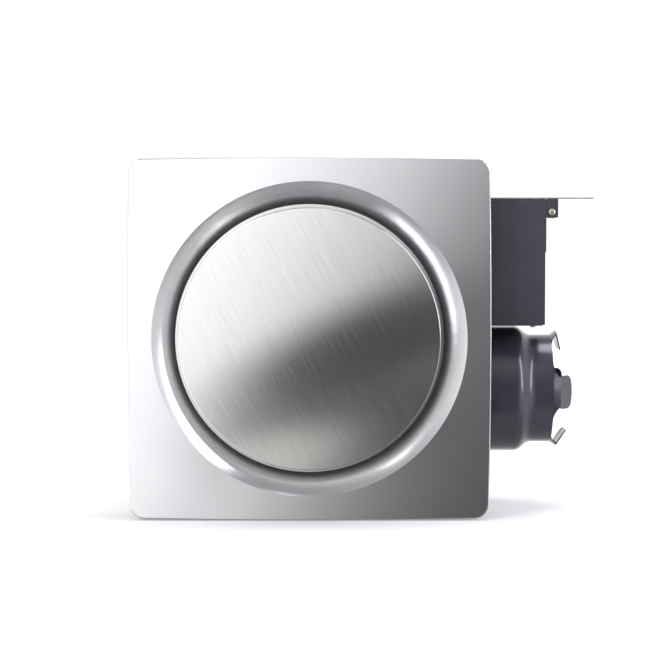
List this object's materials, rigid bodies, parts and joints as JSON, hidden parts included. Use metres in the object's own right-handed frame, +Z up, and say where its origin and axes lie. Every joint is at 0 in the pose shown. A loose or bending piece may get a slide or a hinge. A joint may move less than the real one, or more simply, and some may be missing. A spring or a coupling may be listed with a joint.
{
  "type": "bathroom extractor fan",
  "caption": "Square-fascia ceiling extractor fan with a centre disc, centrifugal wheel in a sheet housing, side duct spigot with damper, terminal box and joist bars",
  "frame": {"origin": "centre of the four flange fixing holes, on the impeller's axis, in the plane of the ceiling or wall surface", "axes": "+X towards the duct, +Y into the void behind the surface, +Z up as hung on a wall; the fascia faces -Y"},
  "size_m": [0.5283, 0.2346, 0.41],
  "materials": {
    "fascia_satin": "smooth satin silver lacquer on pressed steel",
    "disc_steel": "brushed stainless steel with a polished rolled rim",
    "black_abs": "moulded ABS, fine matt",
    "slate_plastic": "dark slate-grey moulded plastic, semi-gloss",
    "slate_box": "dark slate-grey powder coat, semi-gloss",
    "galvanised": "hot-dip galvanised sheet, faint spangle",
    "spring_steel": "drawn stainless wire",
    "zinc_fastener": "bright zinc plate",
    "yellow_zinc": "yellow passivated zinc plate",
    "motor_steel": "plain pressed aluminium and steel",
    "bearing_steel": "ground steel and laminations",
    "copper": "enamelled copper wire",
    "rubber": "black rubber and closed-cell foam",
    "lead_grey": "grey PVC sheath",
    "capacitor_white": "pale moulded case"
  },
  "bodies": {
    "housing": {"bar_screws": "zinc_fastener", "block_screws": "zinc_fastener", "cable_grommet": "rubber", "capacitor_clip": "galvanised", "clip_screw": "zinc_fastener", "control_box": "slate_box", "control_box_cover": "slate_box", "control_box_screws": "zinc_fastener", "cover_clips": "galvanised", "cover_screws": "zinc_fastener", "damper_pin": "spring_steel", "damper_springs": "spring_steel", "duct_spigot": "slate_plastic", "earth_screw": "yellow_zinc", "housing_shell": "galvanised", "inlet_brackets": "galvanised", "inlet_plate": "galvanised", "inlet_screws": "zinc_fastener", "joist_bar_lower": "galvanised", "joist_bar_upper": "galvanised", "lead_grommets": "rubber", "lug_nut": "zinc_fastener", "lug_screw": "yellow_zinc", "motor_bearings": "bearing_steel", "motor_bushes": "rubber", "motor_can": "motor_steel", "motor_front_cap": "motor_steel", "motor_lead": "lead_grey", "motor_plate": "galvanised", "motor_screws": "zinc_fastener", "run_capacitor": "capacitor_white", "scroll_spacers": "galvanised", "scroll_strip": "galvanised", "spacer_screws": "zinc_fastener", "spigot_gasket": "rubber", "spigot_screws": "zinc_fastener", "stator_core": "bearing_steel", "stator_windings": "copper", "terminal_block": "black_abs", "terminal_screws": "zinc_fastener"},
    "fascia": {"fascia_panel": "fascia_satin", "centre_disc": "disc_steel", "disc_backing": "black_abs", "disc_screws": "zinc_fastener", "foam_seal": "rubber", "spring_brackets": "galvanised", "bracket_rivets": "galvanised", "spring_coils": "spring_steel"},
    "spring_legs_duct_side": {"spring_legs_duct_side": "spring_steel"},
    "spring_legs_blind_side": {"spring_legs_blind_side": "spring_steel"},
    "impeller": {"motor_shaft": "bearing_steel", "motor_rotor": "bearing_steel", "impeller_blades": "motor_steel", "impeller_shroud": "motor_steel", "impeller_back": "motor_steel", "impeller_hub": "motor_steel", "hub_grub_screw": "zinc_fastener", "shaft_nut": "zinc_fastener"},
    "flap_near": {"damper_flap_near": "slate_plastic"},
    "flap_far": {"damper_flap_far": "slate_plastic"}
  },
  "joints": [
    {"name": "fascia_slide", "type": "slide", "parent": "housing", "child": "fascia", "axis": [0, -1, 0], "range_m": [0, 0.05], "stiffness_N_per_m": 200, "springref_m": -0.11},
    {"name": "duct_side_legs_fold", "type": "hinge", "parent": "fascia", "child": "spring_legs_duct_side", "pos_m": [0, 0.008, 0], "axis": [0, 0, 1], "range_deg": [0, 27.01]},
    {"name": "blind_side_legs_fold", "type": "hinge", "parent": "fascia", "child": "spring_legs_blind_side", "pos_m": [0, 0.008, 0], "axis": [0, 0, -1], "range_deg": [0, 27.01]},
    {"name": "impeller_spin", "type": "hinge", "parent": "housing", "child": "impeller", "pos_m": [0, 0.105, 0], "axis": [0, 1, 0], "continuous": true},
    {"name": "flap_near_swing", "type": "hinge", "parent": "housing", "child": "flap_near", "pos_m": [0.2056, 0.0996, -0.065], "axis": [0, 0, 1], "range_deg": [0, 75], "stiffness_Nm_per_rad": 0.02, "springref_deg": -20.05},
    {"name": "flap_far_swing", "type": "hinge", "parent": "housing", "child": "flap_far", "pos_m": [0.2056, 0.0996, -0.065], "axis": [0, 0, -1], "range_deg": [0, 75], "stiffness_Nm_per_rad": 0.02, "springref_deg": -20.05}
  ],
  "couplings": [
    {"joint": "duct_side_legs_fold", "follows": "fascia_slide", "rad_per_m": 9.4248},
    {"joint": "blind_side_legs_fold", "follows": "fascia_slide", "rad_per_m": 9.4248}
  ]
}
